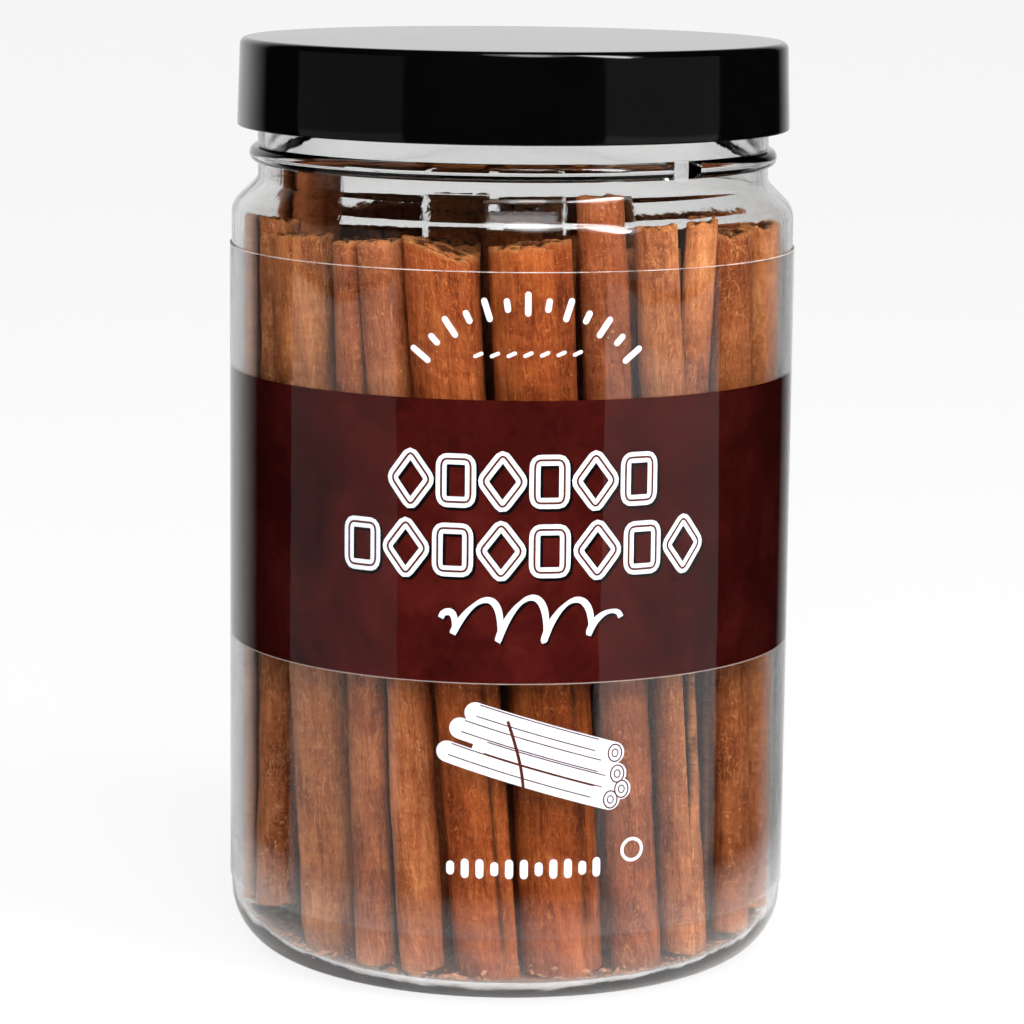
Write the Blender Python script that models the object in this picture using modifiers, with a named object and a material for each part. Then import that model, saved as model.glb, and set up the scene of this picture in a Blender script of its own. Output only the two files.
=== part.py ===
"""Clear screw-top jar filled with upright cinnamon sticks.

Metres, +Z up. The origin is on the floor at the centre of the jar's base, and
the front of the jar faces -Y. Angles round the jar are counted from the front,
positive towards +X.
"""
import math
import random

import bmesh
import bpy
from mathutils import Vector

MM = 0.001

# Jar: a turned shell of clear plastic
SEGMENTS = 60
BODY_R = 46.85 * MM
WALL = 1.2 * MM
NECK_R = 42.5 * MM
RIM_Z = 151.6 * MM
SHOULDER_Z = 124.3 * MM
SHOULDER_ROUND = 4.0 * MM
SHOULDER_SLOPE = math.radians(45)
NECK_ROUND = 1.5 * MM
HEEL_WIDTH = 9.0 * MM
HEEL_HEIGHT = 10.1 * MM
FLOOR_Z = 1.9 * MM
RING_INNER_R = 30.0 * MM
PUSH_UP = 0.8 * MM
PUSH_UP_SLOPE = 2.0 * MM

# Bead round the neck, interrupted in two places
BEAD_Z = 134.35 * MM
BEAD_HEIGHT = 2.9 * MM
BEAD_OUT = 1.4 * MM
BEAD_GAP = 3.6 * MM
BEAD_GAP_ANGLES = (39.0, 219.0)

# Lid: a plain cap over the neck
LID_TOP_Z = 153.4 * MM
LID_BOTTOM_Z = 138.9 * MM
LID_BOTTOM_R = 45.93 * MM
LID_TOP_R = 45.5 * MM
LID_EDGE_ROUND = 1.2 * MM
LID_TOP_THICKNESS = 1.5 * MM
LID_WALL = 1.4 * MM

# Label: a film sleeve round the body
LABEL_GAP = 0.2 * MM
LABEL_THICKNESS = 0.1 * MM
LABEL_BOTTOM_Z = 12.0 * MM
LABEL_TOP_Z = 119.4 * MM

# Bark
ROLL_GAP = 0.6 * MM
CORE_GAP = 0.25 * MM
DOUBLE_BARK_SHARE = 0.72
STICK_CLEARANCE = 0.45 * MM
SINGLE_POINTS = 15
LOBE_POINTS = 8

# Outer sticks that face the front, in mm and degrees:
# foot angle, top angle, foot width, top width, depth, foot z, top z, foot inset
# from the wall, top slant across the width, bark, turns (0 is a double roll), seam
FRONT_STICKS = (
    (-73.5, -73.0, 9.3, 9.0, 8.6, 8.8, 124.7, 0.0, 0.0, 1.6, 1.35, 115),
    (-52.0, -56.2, 10.2, 11.1, 9.6, 2.6, 122.8, 0.0, 0.4, 1.7, 1.4, 280),
    (-25.5, -33.5, 15.0, 11.8, 8.4, 4.6, 123.0, 0.0, 0.9, 1.7, 0.0, 0),
    (-4.3, -16.4, 10.8, 12.2, 10.6, 2.4, 122.4, 0.0, -3.6, 2.0, 1.3, 45),
    (16.1, 4.0, 13.6, 13.1, 10.8, 2.4, 123.2, 0.0, 1.4, 1.8, 1.4, 70),
    (34.2, 21.2, 8.8, 7.9, 8.4, 3.3, 130.4, 0.0, 0.0, 1.6, 1.35, 280),
    (49.0, 34.2, 7.6, 7.4, 7.8, 4.5, 125.8, 0.0, 0.3, 1.5, 0.86, 115),
    (60.0, 46.2, 5.8, 6.0, 5.8, 3.2, 126.1, 9.0, 0.2, 1.1, 1.3, 280),
    (66.5, 56.4, 7.2, 7.8, 8.0, 5.6, 123.9, 0.0, 0.8, 1.3, 1.25, 280),
    (81.0, 73.4, 7.2, 6.8, 7.4, 7.6, 124.2, 0.0, 0.6, 1.2, 1.25, 300),
)

# Outer sticks round the sides and back, evenly spaced between these angles
BACK_COUNT = 10
BACK_FIRST_ANGLE = 101.0
BACK_LAST_ANGLE = 268.5
BACK_SIZE = 11.4
TALL_BACK_INDEX = 8
TALL_BACK_TOP = 130.5

# Rings of sticks inside: radius in mm, count, stick size in mm, first angle
INNER_RINGS = (
    (24.2, 11, 10.5, 8.0),
    (12.4, 5, 10.8, 20.0),
    (0.0, 1, 10.6, 0.0),
)
INNER_FOOT_Z = 2.5
INNER_TOP_Z = 122.0
SEED = 7


def clear_scene():
    for obj in list(bpy.data.objects):
        bpy.data.objects.remove(obj, do_unlink=True)


def collection(name):
    group = bpy.data.collections.new(name)
    bpy.context.scene.collection.children.link(group)
    return group


def material(name, colour, roughness, metallic=0.0, transmission=0.0):
    mat = bpy.data.materials.new(name)
    mat.use_nodes = True
    shader = mat.node_tree.nodes["Principled BSDF"]
    shader.inputs["Base Color"].default_value = (*colour, 1.0)
    shader.inputs["Roughness"].default_value = roughness
    shader.inputs["Metallic"].default_value = metallic
    shader.inputs["Transmission Weight"].default_value = transmission
    return mat


def arc(centre_r, centre_z, radius_r, radius_z, start, end, steps):
    """Points (r, z) along a stretch of an ellipse, angles in degrees."""
    points = []
    for i in range(steps + 1):
        angle = math.radians(start + (end - start) * i / steps)
        r = centre_r + radius_r * math.cos(angle)
        z = centre_z + radius_z * math.sin(angle)
        points.append((r, z))
    return points


def turned(name, profile, mat, group, closed=False):
    """A profile of (r, z) points turned about Z."""
    mesh = bpy.data.meshes.new(name)
    bm = bmesh.new()
    verts = [bm.verts.new((r, 0.0, z)) for r, z in profile]
    ends = verts[1:] + verts[:1] if closed else verts[1:]
    for a, b in zip(verts, ends):
        bm.edges.new((a, b))
    bm.to_mesh(mesh)
    bm.free()
    mesh.materials.append(mat)
    obj = bpy.data.objects.new(name, mesh)
    group.objects.link(obj)
    screw = obj.modifiers.new("turn", "SCREW")
    screw.axis = "Z"
    screw.steps = SEGMENTS
    screw.render_steps = SEGMENTS
    screw.use_smooth_shade = True
    screw.use_merge_vertices = True
    screw.merge_threshold = 0.00002
    return obj


def shoulder_end():
    """Where the shoulder's straight slope begins, as (r, z) on the outside."""
    r = BODY_R - SHOULDER_ROUND * (1.0 - math.cos(SHOULDER_SLOPE))
    z = SHOULDER_Z + SHOULDER_ROUND * math.sin(SHOULDER_SLOPE)
    return r, z


def neck_start():
    """The height at which the neck's outside becomes upright."""
    slope_r, slope_z = shoulder_end()
    blend_r = NECK_R + NECK_ROUND * (1.0 - math.cos(SHOULDER_SLOPE))
    slope_top_z = slope_z + (slope_r - blend_r) * math.tan(SHOULDER_SLOPE)
    return slope_top_z + NECK_ROUND * math.sin(SHOULDER_SLOPE)


def jar_profile():
    heel_r = BODY_R - HEEL_WIDTH
    slope = math.degrees(SHOULDER_SLOPE)
    inner_r = BODY_R - WALL
    inner_heel_r = HEEL_WIDTH - WALL
    inner_round = SHOULDER_ROUND - WALL
    inner = [(0.0, FLOOR_Z)]
    inner += arc(heel_r, HEEL_HEIGHT, inner_heel_r, HEEL_HEIGHT - FLOOR_Z, -90, 0, 4)
    inner += arc(inner_r - inner_round, SHOULDER_Z, inner_round, inner_round, 0, slope, 2)
    inner += [(NECK_R - WALL, neck_start()), (NECK_R - WALL, RIM_Z)]
    outer = [(NECK_R, RIM_Z)]
    outer += arc(NECK_R, BEAD_Z, BEAD_OUT, BEAD_HEIGHT / 2, 90, -90, 4)
    blend_centre_r = NECK_R + NECK_ROUND
    outer += arc(blend_centre_r, neck_start(), NECK_ROUND, NECK_ROUND, 180, 180 + slope, 1)
    outer += arc(BODY_R - SHOULDER_ROUND, SHOULDER_Z, SHOULDER_ROUND, SHOULDER_ROUND, slope, 0, 2)
    outer += arc(heel_r, HEEL_HEIGHT, HEEL_WIDTH, HEEL_HEIGHT, 0, -90, 4)
    outer += [(RING_INNER_R, 0.0), (RING_INNER_R - PUSH_UP_SLOPE, PUSH_UP), (0.0, PUSH_UP)]
    return inner + outer


def make_jar(mat, group, cutters):
    jar = turned("jar", jar_profile(), mat, group)
    for i, angle in enumerate(BEAD_GAP_ANGLES):
        size = (BEAD_GAP, 2 * BEAD_OUT, 2 * BEAD_HEIGHT)
        reach = NECK_R + 0.08 * MM + BEAD_OUT
        turn = math.radians(angle)
        cutter = box(f"bead_gap_{i}", size, cutters)
        cutter.location = (reach * math.sin(turn), -reach * math.cos(turn), BEAD_Z)
        cutter.rotation_euler = (0.0, 0.0, turn)
        cutter.hide_render = True
        cutter.display_type = "WIRE"
        cut = jar.modifiers.new("bead gap", "BOOLEAN")
        cut.operation = "DIFFERENCE"
        cut.solver = "EXACT"
        cut.object = cutter
    return jar


def box(name, size, group):
    mesh = bpy.data.meshes.new(name)
    bm = bmesh.new()
    bmesh.ops.create_cube(bm, size=1.0)
    bmesh.ops.scale(bm, vec=size, verts=bm.verts)
    bm.to_mesh(mesh)
    bm.free()
    obj = bpy.data.objects.new(name, mesh)
    group.objects.link(obj)
    return obj


def make_lid(mat, group):
    inner_top = LID_TOP_Z - LID_TOP_THICKNESS
    inner_r = LID_TOP_R - LID_WALL
    round_r = LID_TOP_R - LID_EDGE_ROUND
    profile = [(0.0, LID_TOP_Z)]
    profile += arc(round_r, LID_TOP_Z - LID_EDGE_ROUND, LID_EDGE_ROUND, LID_EDGE_ROUND, 90, 0, 3)
    profile += [(LID_BOTTOM_R, LID_BOTTOM_Z), (inner_r, LID_BOTTOM_Z)]
    profile += [(inner_r, inner_top), (0.0, inner_top)]
    return turned("lid", profile, mat, group)


def make_label(mat, group):
    inner = BODY_R + LABEL_GAP
    outer = inner + LABEL_THICKNESS
    profile = [(outer, LABEL_TOP_Z), (outer, LABEL_BOTTOM_Z)]
    profile += [(inner, LABEL_BOTTOM_Z), (inner, LABEL_TOP_Z)]
    return turned("label", profile, mat, group, closed=True)


def inside_radius(z):
    """The jar's inside radius at height z."""
    inner_r = BODY_R - WALL
    if z < HEEL_HEIGHT:
        drop = (HEEL_HEIGHT - z) / (HEEL_HEIGHT - FLOOR_Z)
        return BODY_R - HEEL_WIDTH + (HEEL_WIDTH - WALL) * math.sqrt(max(0.0, 1.0 - drop * drop))
    if z < SHOULDER_Z:
        return inner_r
    rise = (z - SHOULDER_Z) / (neck_start() - SHOULDER_Z)
    return inner_r + (NECK_R - WALL - inner_r) * min(1.0, rise)


def single_roll(bark, turns, seam, width):
    """Centre line of a sheet of bark rolled from one edge, stopping short of its core."""
    start = width / 2 - bark / 2
    pitch = bark + ROLL_GAP
    turns = min(turns, (start - bark / 2 - CORE_GAP) / pitch)
    line = []
    for i in range(SINGLE_POINTS):
        turned_by = 2 * math.pi * turns * i / (SINGLE_POINTS - 1)
        radius = start - pitch * turned_by / (2 * math.pi)
        angle = math.radians(seam) + turned_by
        line.append(Vector((radius * math.cos(angle), radius * math.sin(angle))))
    return line


def double_roll(bark, width, depth):
    """Centre line of a sheet rolled from both edges, the two rolls side by side
    and flat where they would press on each other."""
    start = depth / 2 - bark / 2
    lobe = width / 2 - depth / 2
    pitch = bark + ROLL_GAP
    rolled = min(1.0, (start - bark / 2 - CORE_GAP) / pitch)
    nearest = bark / 2 + ROLL_GAP / 2
    right = []
    for i in range(LOBE_POINTS):
        part = rolled * i / (LOBE_POINTS - 1)
        radius = start - pitch * part
        angle = math.radians(-90 + 350 * part)
        across = lobe + radius * math.cos(angle)
        right.append(Vector((max(across, nearest), radius * math.sin(angle))))
    left = [Vector((-p.x, p.y)) for p in reversed(right)]
    return left + right


def thicken(line, bark):
    """The closed outline of a strip of this thickness along a centre line."""
    outside = []
    inside = []
    for i, point in enumerate(line):
        along = line[min(i + 1, len(line) - 1)] - line[max(i - 1, 0)]
        normal = Vector((along.y, -along.x)).normalized()
        outside.append(point + normal * bark / 2)
        inside.append(point - normal * bark / 2)
    return outside + inside[::-1]


def fitted(outline, width, depth):
    """The outline centred and stretched to this width and depth."""
    low = Vector((min(p.x for p in outline), min(p.y for p in outline)))
    high = Vector((max(p.x for p in outline), max(p.y for p in outline)))
    middle = (low + high) / 2
    size = high - low
    return [Vector(((p.x - middle.x) * width / size.x, (p.y - middle.y) * depth / size.y))
            for p in outline]


def placed(outline, centre, angle, z, slant):
    """An outline laid flat at height z, its depth pointing out from the jar's axis."""
    turn = math.radians(angle)
    out = Vector((math.sin(turn), -math.cos(turn)))
    across = Vector((math.cos(turn), math.sin(turn)))
    points = []
    for p in outline:
        flat = centre + across * p.x + out * p.y
        points.append(Vector((flat.x, flat.y, z + slant * p.x)))
    return points


def loft(name, low, high, mat, group):
    """A closed solid between two outlines with the same number of points."""
    mesh = bpy.data.meshes.new(name)
    bm = bmesh.new()
    bottom = [bm.verts.new(p) for p in low]
    top = [bm.verts.new(p) for p in high]
    bm.faces.new(bottom[::-1])
    bm.faces.new(top)
    for i in range(len(bottom)):
        j = (i + 1) % len(bottom)
        bm.faces.new((bottom[i], bottom[j], top[j], top[i]))
    bmesh.ops.recalc_face_normals(bm, faces=bm.faces)
    bm.to_mesh(mesh)
    bm.free()
    mesh.materials.append(mat)
    obj = bpy.data.objects.new(name, mesh)
    group.objects.link(obj)
    return obj


def at_angle(radius, angle):
    turn = math.radians(angle)
    return Vector((radius * math.sin(turn), -radius * math.cos(turn)))


def make_stick(name, foot, top, shape, mat, group):
    """One stick. foot and top hold radius, angle, width and z; shape the rest."""
    bark = shape["bark"]
    depth = shape["depth"]
    if shape["turns"] > 0:
        line = single_roll(bark, shape["turns"], shape["seam"], foot["width"])
    else:
        line = double_roll(bark, foot["width"], depth)
    outline = thicken(line, bark)
    low = fitted(outline, foot["width"], depth)
    high = fitted(outline, top["width"], depth)
    slant = shape["slant"] / top["width"]
    low_ring = placed(low, at_angle(foot["radius"], foot["angle"]), foot["angle"], foot["z"], 0.0)
    high_ring = placed(high, at_angle(top["radius"], top["angle"]), top["angle"], top["z"], slant)
    return loft(name, low_ring, high_ring, mat, group)


def outer_end(angle, z, width, depth):
    """One end of an outer stick, as far out as the jar's wall allows."""
    radius = inside_radius(z) - STICK_CLEARANCE - depth / 2
    return {"radius": radius, "angle": angle, "z": z, "width": width}


def front_sticks():
    for row in FRONT_STICKS:
        foot_angle, top_angle, foot_width, top_width, depth = row[:5]
        foot_z, top_z, inset, slant, bark, turns, seam = row[5:]
        foot = outer_end(foot_angle, foot_z * MM, foot_width * MM, depth * MM)
        foot["radius"] -= inset * MM
        top = outer_end(top_angle, top_z * MM, top_width * MM, depth * MM)
        shape = {"depth": depth * MM, "slant": slant * MM, "bark": bark * MM,
                 "turns": turns, "seam": seam}
        yield foot, top, shape


def random_shape(rng, depth):
    slant = rng.uniform(-1.5, 1.5) * MM
    bark = rng.uniform(1.5, 2.0) * MM
    turns = rng.choice((0.0, 1.2, 1.3, 1.4))
    if turns == 0:
        bark *= DOUBLE_BARK_SHARE
    return {"depth": depth, "slant": slant, "bark": bark, "turns": turns, "seam": rng.uniform(0, 360)}


def back_sticks(rng):
    step = (BACK_LAST_ANGLE - BACK_FIRST_ANGLE) / (BACK_COUNT - 1)
    for i in range(BACK_COUNT):
        angle = BACK_FIRST_ANGLE + step * i
        width = (BACK_SIZE + rng.uniform(-0.5, 0.7)) * MM
        shape = random_shape(rng, (BACK_SIZE - rng.uniform(1.0, 2.6)) * MM)
        top_z = TALL_BACK_TOP if i == TALL_BACK_INDEX else rng.uniform(120.5, 124.5)
        foot_angle = angle + rng.uniform(-0.8, 0.8)
        foot = outer_end(foot_angle, rng.uniform(4.5, 8.0) * MM, width, shape["depth"])
        top = outer_end(angle, top_z * MM, width, shape["depth"])
        yield foot, top, shape


def inner_sticks(rng):
    for radius, count, size, first in INNER_RINGS:
        for i in range(count):
            angle = first + 360.0 * i / count
            width = (size + rng.uniform(-0.6, 0.3)) * MM
            shape = random_shape(rng, width - rng.uniform(0.4, 2.2) * MM)
            foot = {"radius": radius * MM, "angle": angle + rng.uniform(-1.5, 1.5),
                    "z": (INNER_FOOT_Z + rng.uniform(0.0, 0.8)) * MM, "width": width}
            top = {"radius": radius * MM, "angle": angle + rng.uniform(-1.5, 1.5),
                   "z": (INNER_TOP_Z + rng.uniform(-3.0, 3.0)) * MM, "width": width}
            yield foot, top, shape


def make_sticks(mat, group):
    rng = random.Random(SEED)
    rows = list(front_sticks()) + list(back_sticks(rng)) + list(inner_sticks(rng))
    for number, (foot, top, shape) in enumerate(rows, start=1):
        make_stick(f"stick_{number:02d}", foot, top, shape, mat, group)


def main():
    clear_scene()
    group = collection("cinnamon_jar")
    cutters = collection("cutters")
    clear = material("clear_plastic", (0.95, 0.96, 0.95), 0.03, transmission=1.0)
    black = material("black_plastic", (0.008, 0.008, 0.009), 0.12)
    film = material("label_film", (0.90, 0.90, 0.92), 0.10, transmission=1.0)
    bark = material("cinnamon_bark", (0.42, 0.19, 0.08), 0.8)
    make_jar(clear, group, cutters)
    make_lid(black, group)
    make_label(film, group)
    make_sticks(bark, group)


main()
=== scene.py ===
"""Looks of a clear screw-top jar packed with cinnamon sticks.

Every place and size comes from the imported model's nodes. Angles round the jar
are counted from the front (-Y), positive towards +X. Millimetres are written
as numbers times MM.
"""
import math

import bpy
import numpy as np
from mathutils import Matrix, Vector


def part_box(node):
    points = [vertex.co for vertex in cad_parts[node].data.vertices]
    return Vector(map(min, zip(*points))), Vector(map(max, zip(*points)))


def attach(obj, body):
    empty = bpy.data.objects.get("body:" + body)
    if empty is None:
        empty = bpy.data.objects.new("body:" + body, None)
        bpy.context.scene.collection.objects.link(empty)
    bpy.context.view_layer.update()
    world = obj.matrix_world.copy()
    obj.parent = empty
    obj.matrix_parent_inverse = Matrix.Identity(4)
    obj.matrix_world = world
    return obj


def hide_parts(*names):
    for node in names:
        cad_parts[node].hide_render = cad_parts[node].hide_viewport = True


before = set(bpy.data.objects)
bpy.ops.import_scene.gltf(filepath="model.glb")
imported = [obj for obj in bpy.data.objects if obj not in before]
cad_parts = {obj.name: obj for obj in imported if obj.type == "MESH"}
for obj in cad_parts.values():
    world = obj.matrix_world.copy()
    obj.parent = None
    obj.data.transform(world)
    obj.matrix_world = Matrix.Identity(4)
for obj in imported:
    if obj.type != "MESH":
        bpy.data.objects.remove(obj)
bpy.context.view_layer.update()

MM = 0.001
JAR_LOW, JAR_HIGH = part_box("jar")
LID_LOW, LID_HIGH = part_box("lid")
LABEL_LOW, LABEL_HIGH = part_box("label")

# Jar proportions, as the jar is turned
BODY_R = JAR_HIGH.x
RIM_Z = JAR_HIGH.z
WALL = 1.2 * MM
NECK_R = 42.5 * MM
SHOULDER_Z = 124.3 * MM
SHOULDER_ROUND = 4.0 * MM
SHOULDER_SLOPE = math.radians(45)
NECK_ROUND = 1.5 * MM
HEEL_WIDTH = 9.0 * MM
HEEL_HEIGHT = 10.1 * MM
FLOOR_Z = 1.9 * MM
RING_INNER_R = 30.0 * MM
PUSH_UP = 0.8 * MM
PUSH_UP_SLOPE = 2.0 * MM
BEAD_Z = 134.35 * MM
BEAD_HEIGHT = 2.9 * MM
BEAD_OUT = 1.4 * MM
BEAD_GAP_DEGREES = 4.8
BEAD_GAP_ANGLES = (39.0, 219.0)
TURNS = 240

# Lid
LID_EDGE_ROUND = 1.2 * MM
LID_TAPER = 0.43 * MM
LID_TOP_THICKNESS = 1.5 * MM
LID_WALL = 1.4 * MM

# Label: film, printed band and print, outwards from the jar's wall
FILM_THICKNESS = 0.1 * MM
BAND_R = LABEL_HIGH.x - 0.088 * MM
SHADOW_R = LABEL_HIGH.x - 0.068 * MM
PRINT_R = LABEL_HIGH.x - 0.05 * MM
LINE_R = LABEL_HIGH.x - 0.033 * MM
INK = 0.012 * MM
BAND_LOW_Z = 53.9 * MM
BAND_HIGH_Z = 99.15 * MM
LABEL_CENTRE = 2.0 * MM


# ---------------------------------------------------------------- mesh tools

def make_object(name, verts, faces, smooth=True):
    mesh = bpy.data.meshes.new(name)
    mesh.from_pydata([tuple(v) for v in verts], [], faces)
    mesh.validate()
    if smooth:
        mesh.shade_smooth()
    obj = bpy.data.objects.new(name, mesh)
    bpy.context.scene.collection.objects.link(obj)
    return obj


def face_outwards(obj):
    import bmesh
    bm = bmesh.new()
    bm.from_mesh(obj.data)
    bmesh.ops.recalc_face_normals(bm, faces=bm.faces)
    bm.to_mesh(obj.data)
    bm.free()


def arc(centre_r, centre_z, radius_r, radius_z, start, end, steps):
    points = []
    for i in range(steps + 1):
        angle = math.radians(start + (end - start) * i / steps)
        points.append((centre_r + radius_r * math.cos(angle), centre_z + radius_z * math.sin(angle)))
    return points


def turn_profile(name, profile, closed=False, turns=TURNS, push=None):
    """Turns (r, z) points about Z. push(angle, r, z) may change a point's radius."""
    verts = []
    rings = []
    for r, z in profile:
        if r < 1e-7:
            rings.append([len(verts)] * turns)
            verts.append((0.0, 0.0, z))
            continue
        rings.append(list(range(len(verts), len(verts) + turns)))
        for k in range(turns):
            angle = 2 * math.pi * k / turns
            radius = push(angle, r, z) if push else r
            verts.append((radius * math.sin(angle), -radius * math.cos(angle), z))
    faces = []
    pairs = list(zip(rings, rings[1:])) + ([(rings[-1], rings[0])] if closed else [])
    for low, high in pairs:
        for k in range(turns):
            j = (k + 1) % turns
            corners = [low[k], low[j], high[j], high[k]]
            face = [v for n, v in enumerate(corners) if v != corners[n - 1]]
            if len(face) > 2:
                faces.append(face)
    obj = make_object(name, verts, faces)
    face_outwards(obj)
    obj.data.set_sharp_from_angle(angle=math.radians(30))
    return obj


class Noise:
    """Smooth value noise on a lattice, between -1 and 1."""

    def __init__(self, seed):
        self.table = np.random.default_rng(seed).uniform(-1, 1, (256, 256))

    def __call__(self, u, v):
        iu = np.floor(u).astype(int)
        iv = np.floor(v).astype(int)
        fu = u - iu
        fv = v - iv
        fu = fu * fu * (3 - 2 * fu)
        fv = fv * fv * (3 - 2 * fv)
        a = self.table[iu % 256, iv % 256]
        b = self.table[(iu + 1) % 256, iv % 256]
        c = self.table[iu % 256, (iv + 1) % 256]
        d = self.table[(iu + 1) % 256, (iv + 1) % 256]
        return (a * (1 - fu) + b * fu) * (1 - fv) + (c * (1 - fu) + d * fu) * fv


# ------------------------------------------------------------ material tools

class Nodes:
    """Short names for building a material's node tree."""

    def __init__(self, name):
        self.mat = bpy.data.materials.new(name)
        self.mat.use_nodes = True
        self.tree = self.mat.node_tree
        self.tree.nodes.clear()
        self.output = self.tree.nodes.new("ShaderNodeOutputMaterial")

    def add(self, kind, **settings):
        node = self.tree.nodes.new("ShaderNode" + kind)
        for key, value in settings.items():
            setattr(node, key, value)
        return node

    def link(self, source, target):
        self.tree.links.new(source, target)

    def put(self, socket, value):
        if isinstance(value, bpy.types.NodeSocket):
            self.link(value, socket)
        else:
            socket.default_value = value

    def math(self, operation, a, b=0.0, clamp=False):
        node = self.add("Math", operation=operation, use_clamp=clamp)
        self.put(node.inputs[0], a)
        self.put(node.inputs[1], b)
        return node.outputs[0]

    def ramp(self, value, stops, interpolation="LINEAR"):
        node = self.add("ValToRGB")
        node.color_ramp.interpolation = interpolation
        elements = node.color_ramp.elements
        while len(elements) < len(stops):
            elements.new(0.5)
        for element, (position, colour) in zip(elements, stops):
            element.position = position
            element.color = (*colour, 1.0) if isinstance(colour, tuple) else (colour,) * 3 + (1.0,)
        self.put(node.inputs[0], value)
        return node.outputs[0]

    def mix(self, factor, a, b, blend="MIX"):
        node = self.add("Mix", data_type="RGBA", blend_type=blend)
        self.put(node.inputs[0], factor)
        self.put(node.inputs[6], (*a, 1.0) if isinstance(a, tuple) else a)
        self.put(node.inputs[7], (*b, 1.0) if isinstance(b, tuple) else b)
        return node.outputs[2]

    def scaled(self, vector, scale, shift=(0.0, 0.0, 0.0)):
        node = self.add("Mapping")
        self.put(node.inputs["Vector"], vector)
        node.inputs["Scale"].default_value = scale
        node.inputs["Location"].default_value = shift
        return node.outputs[0]

    def noise(self, vector, scale, detail=4.0, roughness=0.55, distortion=0.0):
        node = self.add("TexNoise")
        self.put(node.inputs["Vector"], vector)
        node.inputs["Scale"].default_value = scale
        node.inputs["Detail"].default_value = detail
        node.inputs["Roughness"].default_value = roughness
        node.inputs["Distortion"].default_value = distortion
        return node.outputs["Fac"]

    def bump(self, height, strength, distance, normal=None):
        node = self.add("Bump")
        node.inputs["Strength"].default_value = strength
        node.inputs["Distance"].default_value = distance
        self.put(node.inputs["Height"], height)
        if normal is not None:
            self.put(node.inputs["Normal"], normal)
        return node.outputs[0]

    def principled(self, **values):
        node = self.add("BsdfPrincipled")
        for key, value in values.items():
            self.put(node.inputs[key.replace("_", " ")], value)
        return node

    def finish(self, shader):
        self.link(shader, self.output.inputs["Surface"])
        return self.mat


def let_lamps_through(nodes, shader, tint):
    """Lets the lamps' light reach what is behind a clear wall."""
    path = nodes.add("LightPath")
    either = nodes.math("MAXIMUM", path.outputs["Is Shadow Ray"], path.outputs["Is Diffuse Ray"])
    clear = nodes.add("BsdfTransparent")
    clear.inputs["Color"].default_value = (*tint, 1.0)
    mix = nodes.add("MixShader")
    nodes.link(either, mix.inputs[0])
    nodes.link(shader, mix.inputs[1])
    nodes.link(clear.outputs[0], mix.inputs[2])
    return mix.outputs[0]


def jar_material():
    n = Nodes("clear_plastic")
    coords = n.add("TexCoord").outputs["Object"]
    waves = n.noise(n.scaled(coords, (1.0, 1.0, 0.35)), 60.0, 2.0)
    streaks = n.noise(n.scaled(coords, (1.0, 1.0, 0.06)), 900.0, 3.0)
    height = n.math("ADD", n.math("MULTIPLY", waves, 1.0), n.math("MULTIPLY", streaks, 0.06))
    normal = n.bump(height, 0.25, 0.0006)
    shader = n.principled(Base_Color=(0.985, 0.99, 0.985, 1.0), Roughness=0.012, IOR=1.57,
                          Transmission_Weight=1.0, Normal=normal)
    return n.finish(let_lamps_through(n, shader.outputs[0], (0.97, 0.97, 0.97)))


def film_material():
    n = Nodes("label_film")
    coords = n.add("TexCoord").outputs["Object"]
    ripples = n.noise(n.scaled(coords, (1.0, 1.0, 0.5)), 45.0, 3.0)
    normal = n.bump(ripples, 0.2, 0.0005)
    shader = n.principled(Base_Color=(0.99, 0.99, 0.99, 1.0), Roughness=0.02, IOR=1.5,
                          Transmission_Weight=1.0, Normal=normal)
    return n.finish(let_lamps_through(n, shader.outputs[0], (0.98, 0.98, 0.98)))


def lid_material():
    n = Nodes("black_plastic")
    coords = n.add("TexCoord").outputs["Object"]
    grain = n.noise(coords, 2600.0, 2.0)
    smudges = n.noise(coords, 40.0, 4.0)
    roughness = n.math("ADD", n.math("MULTIPLY", smudges, 0.05), 0.05)
    colour = n.ramp(smudges, [(0.3, (0.0006, 0.0006, 0.0007)), (0.7, (0.0014, 0.0014, 0.0015))])
    normal = n.bump(grain, 0.05, 0.00005)
    shader = n.principled(Base_Color=colour, Roughness=roughness, IOR=1.5, Normal=normal)
    return n.finish(shader.outputs[0])


def band_material():
    n = Nodes("band_ink")
    coords = n.add("TexCoord").outputs["Object"]
    cloud = n.noise(coords, 55.0, 6.0, 0.65, 0.6)
    veins = n.noise(coords, 210.0, 5.0, 0.7, 1.2)
    blend = n.math("ADD", n.math("MULTIPLY", cloud, 0.65), n.math("MULTIPLY", veins, 0.35))
    colour = n.ramp(blend, [(0.32, (0.020, 0.0022, 0.0018)), (0.5, (0.046, 0.0046, 0.0036)),
                            (0.68, (0.082, 0.0100, 0.0075))])
    # Painted shade: the band's colour is darkened towards its left and right sides, down to 0.42 times at the far
    # sides.
    split = n.add("SeparateXYZ")
    n.link(coords, split.inputs[0])
    aside = n.math("MULTIPLY", n.math("ABSOLUTE", split.outputs["X"]), 1.0 / LABEL_HIGH.x)
    shade = n.ramp(aside, [(0.35, (1.0, 1.0, 1.0)), (0.85, (0.42, 0.42, 0.42))])
    colour = n.mix(1.0, colour, shade, "MULTIPLY")
    shader = n.principled(Base_Color=colour, Roughness=0.6, IOR=1.45)
    shader.inputs["Specular IOR Level"].default_value = 0.0
    return n.finish(shader.outputs[0])


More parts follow.
